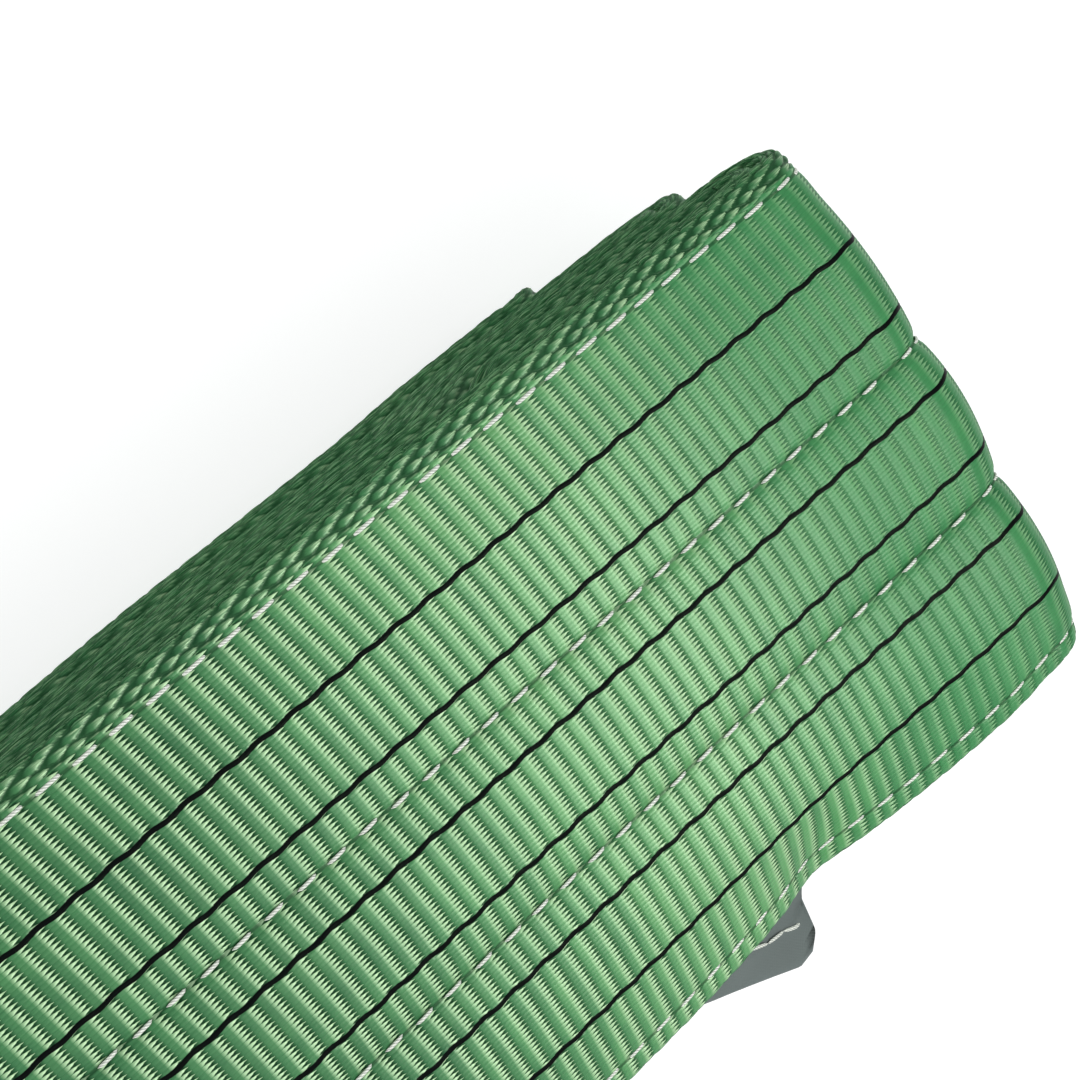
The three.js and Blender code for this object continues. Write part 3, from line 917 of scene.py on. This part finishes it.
def sleeve(name, tip, end, z, flare):
    """A fabric tube along both legs of an eye and round its tip, with a sewn hem at -Y. Its outer
    and inner skins meet at the two mouths."""
    path = sleeve_path(tip, end, z)
    mouth = end - MOUTH
    path_x, path_z, nx, nz = (v[:, None] for v in path.at(np.linspace(0, path.length, 150)))
    outer_y, outer_n = sleeve_section()
    cloth = 0.45  # its thickness
    inner_n = np.sign(outer_n) * np.clip(np.abs(outer_n) - cloth, 0.02, None)
    skins = []
    for ring_y, ring_n in ((outer_y, outer_n), (np.clip(outer_y, -33.0, 29.8), inner_n)):
        y, x = np.broadcast_arrays(ring_y, path_x)
        ripple = 0.08 * np.sin(x / 3.1 + y / 9.0) * np.sin(y / 5.3 + x / 23.0)
        pleat = 0.24 * np.sin(y * 2.1 + 0.6) * ease(x, mouth - 15, mouth) * ease(y, -24, -29)
        rise = (ripple + pleat * (y > HEM_SEAM - 1)) * (np.abs(ring_n) > 0.3)
        lift = ring_n + np.sign(ring_n) * rise
        points = np.stack([x + nx * lift, y, path_z + nz * lift], -1)
        if flare:
            points = flared(points, mouth, z)
        else:
            points[..., 1] += wavy_hem(x, y)
        skins.append(points)
    count, cols = skins[0].shape[:2]
    total = count * cols
    faces = [grid_faces(count, cols, True), grid_faces(count, cols, True, True, total)]
    j = np.arange(cols)
    k = (j + 1) % cols
    for row, turned in ((0, False), (count - 1, True)):
        at = row * cols
        rim = np.stack([at + j, total + at + j, total + at + k, at + k], -1)
        faces.append(rim[:, ::-1] if turned else rim)
    points = settle(np.concatenate(skins).reshape(-1, 3))
    return add_object(name, points, np.concatenate(faces), CLOTH, {})


def hem_thread(name, tip, end, z, flare):
    """The wavering row of thread along a sleeve's hem, on its outer side."""
    path = sleeve_path(tip, end, z)
    pitch, dash = 2.3, 2.4
    along = np.linspace(-1, 1, 7)[None, :]
    count = int(path.length / pitch)
    s = (np.arange(count) + 0.5)[:, None] * pitch + along * dash / 2
    x, path_z, nx, nz = path.at(s)
    side = (np.arange(count) % 2 * 2 - 1)[:, None]
    y = -34.6 + 0.22 * side * along + 2.6 * flare * ease(x, end - MOUTH - 1, end - MOUTH - 16)
    rise = 0.60 - 0.12 * np.abs(along) ** 3
    centres = np.stack([x + nx * rise, y, path_z + nz * rise], -1)
    if flare:
        centres = flared(centres, end - MOUTH, z)
    else:
        centres[..., 1] += wavy_hem(x, y)
    across = np.stack([0 * x, 0 * x + 1, 0 * x], -1)
    return tubes(name, centres, across, np.stack([nx, 0 * nx, nz], -1), 0.22)


def shift_across(obj, amount, x0, x1):
    """Moves a piece across the bundle, easing in between x0 and x1."""
    co = np.zeros(len(obj.data.vertices) * 3, np.float32)
    obj.data.vertices.foreach_get("co", co)
    co = co.reshape(-1, 3)
    co[:, 1] += amount * MM * ease(co[:, 0] / MM, x0, x1)
    obj.data.vertices.foreach_set("co", co.ravel())
    obj.data.update()


def add_eye_a():
    tip, end = EYE_A
    body = "run_1_and_eye_a"
    pieces = (
        (ply("eye_a_loop_woven", loop_path(tip, end, Z1, Z1), WOVEN), "web_green", "loop"),
        (sleeve("eye_a_sleeve_cloth", tip, end, Z1, True), "sleeve_grey", "sleeve"),
        (hem_thread("eye_a_hem_stitches", tip, end, Z1, True), "thread_white", "sleeve_thread"),
    )
    for obj, slot, node in pieces:
        shift_across(obj, -1.6, end, end - 6)
        finish_piece(obj, body, [f"eye_a_{node}"])


def add_eye_b():
    tip, end = EYE_B
    z = EYE_PACK / 2
    loop = ply("eye_b_loop_woven", loop_path(tip, end, z, Z6), WOVEN)
    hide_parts("eye_b_loop")
    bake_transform(loop)
    cloth = sleeve("eye_b_sleeve_cloth", tip, end, z, False)
    finish_piece(cloth, "eye_b", ["eye_b_sleeve"])
    rows = hem_thread("eye_b_hem_stitches", tip, end, z, False)
    finish_piece(rows, "eye_b", ["eye_b_sleeve_thread"])


def stitch_line(start, end, pitch=4.0):
    """Stitch centres from one point to another, with the direction and the pitch between them."""
    a, b = np.array(start, float), np.array(end, float)
    length = float(np.hypot(*(b - a)))
    n = max(1, round(length / pitch))
    t = (np.arange(n) + 0.5) / n
    return a + (b - a) * t[:, None], (b - a) / length, length / n


def add_pattern(name, lines, z, body, node, radius=0.34):
    """Stitching laid out flat as straight lines at height z."""
    along = np.linspace(-1, 1, 7)
    centres, acrosses, ups = [], [], []
    for start, end in lines:
        middles, direction, pitch = stitch_line(start, end)
        reach = along[None, :, None] * direction[None, None, :] * pitch * 0.44
        xy = middles[:, None, :] + reach
        rise = z - 0.30 * np.abs(along) ** 3 + 0 * xy[..., 0]
        centres.append(np.concatenate([xy, rise[..., None]], -1))
        side = np.array([-direction[1], direction[0], 0.0])
        acrosses.append(np.broadcast_to(side, centres[-1].shape))
        ups.append(np.broadcast_to(np.array([0, 0, 1.0]), centres[-1].shape))
    centres, acrosses, ups = (np.concatenate(part) for part in (centres, acrosses, ups))
    finish_piece(tubes(name, centres, acrosses, ups, radius), body, [node])


def box(x0, x1, half):
    corners = [(x0, -half), (x1, -half), (x1, half), (x0, half)]
    return list(zip(corners, corners[1:] + corners[:1]))


def add_eye_stitching():
    """A box with a cross in it, through both plies beside each eye."""
    for name, end, z, body in (("eye_a", EYE_A[1], Z1, "run_1_and_eye_a"),
                               ("eye_b", EYE_B[1], Z6, "run_6")):
        x0, x1, half = end + 3.4, end + 26.6, 23.6
        cross = [((x0, -half), (x1, half)), ((x1, -half), (x0, half))]
        add_pattern(f"{name}_pattern_stitches", box(x0, x1, half) + cross, z + WEB / 2 + 0.12, body,
                    f"{name}_stitching")


# ---------------------------------------------------------------- label

LABEL_X = (-103.4, -204.9)  # from the sewn end to the free one
LABEL_HINGE = -125.1
LABEL_HALF = 22.8
LABEL_Z = Z2[1] + WEB / 2 + 0.9


def thin_sheet(name, x, y, top, thickness, material):
    """A closed sheet over a grid: x is a column, y a row, and top its upper side's height."""
    rows, cols = top.shape
    flat_x, flat_y = x + 0 * top, y + 0 * top
    skins = [np.stack([flat_x, flat_y, z], -1).reshape(-1, 3) for z in (top, top - thickness)]
    under = rows * cols
    loop = np.concatenate([np.arange(cols), np.arange(1, rows) * cols + cols - 1,
                           (rows - 1) * cols + np.arange(cols - 2, -1, -1),
                           np.arange(rows - 2, 0, -1) * cols])
    following = np.roll(loop, -1)
    rim = np.stack([loop, loop + under, following + under, following], -1)[:, ::-1]
    faces = [grid_faces(rows, cols, False, True), grid_faces(rows, cols, False, False, under), rim]
    return add_object(name, settle(np.concatenate(skins)), np.concatenate(faces), material, {})


def add_label():
    x = np.linspace(*LABEL_X, 84)[:, None]
    y = np.linspace(LABEL_HALF, -LABEL_HALF, 24)[None, :]
    lift = 0.5 * ease(x, LABEL_HINGE - 6, LABEL_HINGE - 76) * (0.6 + 0.4 * np.cos(y / 14.0))
    corner = 0.7 * ease(x, LABEL_HINGE - 50, LABEL_HINGE - 80) * ease(np.abs(y), 12, 23)
    top = LABEL_Z + 0.30 + lift + corner
    sheet = thin_sheet("label_sheet", x, y, top, 0.62, LABEL)
    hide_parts("label_tab", "label_flap")
    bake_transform(sheet)

    rows = (x[:, 0] < LABEL_HINGE - 5.0) & (x[:, 0] > LABEL_X[1] + 1.5)
    cols = np.abs(y[0]) < LABEL_HALF - 1.2
    x, y, top = x[rows], y[:, cols], top[np.ix_(rows, cols)]
    top = top + 0.45 + 0.05 * np.sin(x / 6.0) * np.cos(y / 5.0)
    film = thin_sheet("label_film", x, y, top, 0.2, FILM)
    finish_piece(film, "label_flap", ["label_cover"])

    lines = box(LABEL_X[0] - 2.2, LABEL_HINGE + 2.7, LABEL_HALF - 2.6)
    add_pattern("label_stitches", lines, LABEL_Z + 0.55, "run_2", "label_stitching", 0.28)


# ---------------------------------------------------------------- floor, light and camera

CAMERA_AT = (0.05484, 0.08631, 0.27417)
CAMERA_AZIMUTH, CAMERA_ELEVATION, CAMERA_ROLL = -118.82, 58.39, 82.40
SKY, SKY_STRENGTH = (0.95, 0.98, 1.0, 1), 0.62
LAMPS_AIM = (0.17, 0, 0.03)


def add_stage():
    bpy.ops.mesh.primitive_plane_add(size=6, location=(0, 0, -0.0004))
    floor = bpy.context.object
    floor.name = "floor"
    n = Net("floor_paint")
    n.set(Base_Color=GREY, Roughness=0.9, Specular_IOR_Level=0.0)
    n.set(Emission_Color=WHITE, Emission_Strength=0.75)
    floor.data.materials.append(n.material)

    world = bpy.context.scene.world or bpy.data.worlds.new("studio")
    bpy.context.scene.world = world
    world.use_nodes = True
    sky, strength = world.node_tree.nodes["Background"].inputs[:2]
    sky.default_value = SKY
    strength.default_value = SKY_STRENGTH
    bpy.context.scene.view_settings.view_transform = "Standard"


def add_light(name, at, size, power):
    """A round lamp that shines on the bundle's far half."""
    data = bpy.data.lights.new(name, "AREA")
    data.shape = "DISK"
    data.size = size
    data.energy = power
    obj = bpy.data.objects.new(name, data)
    obj.location = at
    aim = Vector(LAMPS_AIM) - Vector(at)
    obj.rotation_euler = aim.to_track_quat("-Z", "Y").to_euler()
    obj.visible_camera = False
    bpy.context.scene.collection.objects.link(obj)
    return obj


def add_lights():
    add_light("soft", (-0.05, -0.25, 0.95), 1.1, 5.5)
    glint = add_light("glint", (0.45, -0.12, 0.50), 0.14, 6.0)
    glint.visible_diffuse = False  # it only shows in the floats' gloss


def add_camera():
    azimuth, elevation = math.radians(CAMERA_AZIMUTH), math.radians(CAMERA_ELEVATION)
    roll = math.radians(CAMERA_ROLL)
    back = Vector((math.sin(azimuth) * math.cos(elevation),
                   -math.cos(azimuth) * math.cos(elevation), math.sin(elevation)))
    level = Vector((math.cos(azimuth), math.sin(azimuth), 0))
    above = back.cross(level)
    right = math.cos(roll) * level + math.sin(roll) * above
    up = -math.sin(roll) * level + math.cos(roll) * above
    data = bpy.data.cameras.new("camera")
    data.lens = 100
    data.sensor_width = 36
    data.clip_start = 0.01
    camera = bpy.data.objects.new("camera", data)
    turn = Matrix((right, up, back)).transposed().to_4x4()
    camera.matrix_world = Matrix.Translation(CAMERA_AT) @ turn
    bpy.context.scene.collection.objects.link(camera)
    bpy.context.scene.camera = camera


add_runs()
add_folds()
add_seams()
add_eye_a()
add_eye_b()
add_eye_stitching()
add_label()
add_stage()
add_lights()
add_camera()
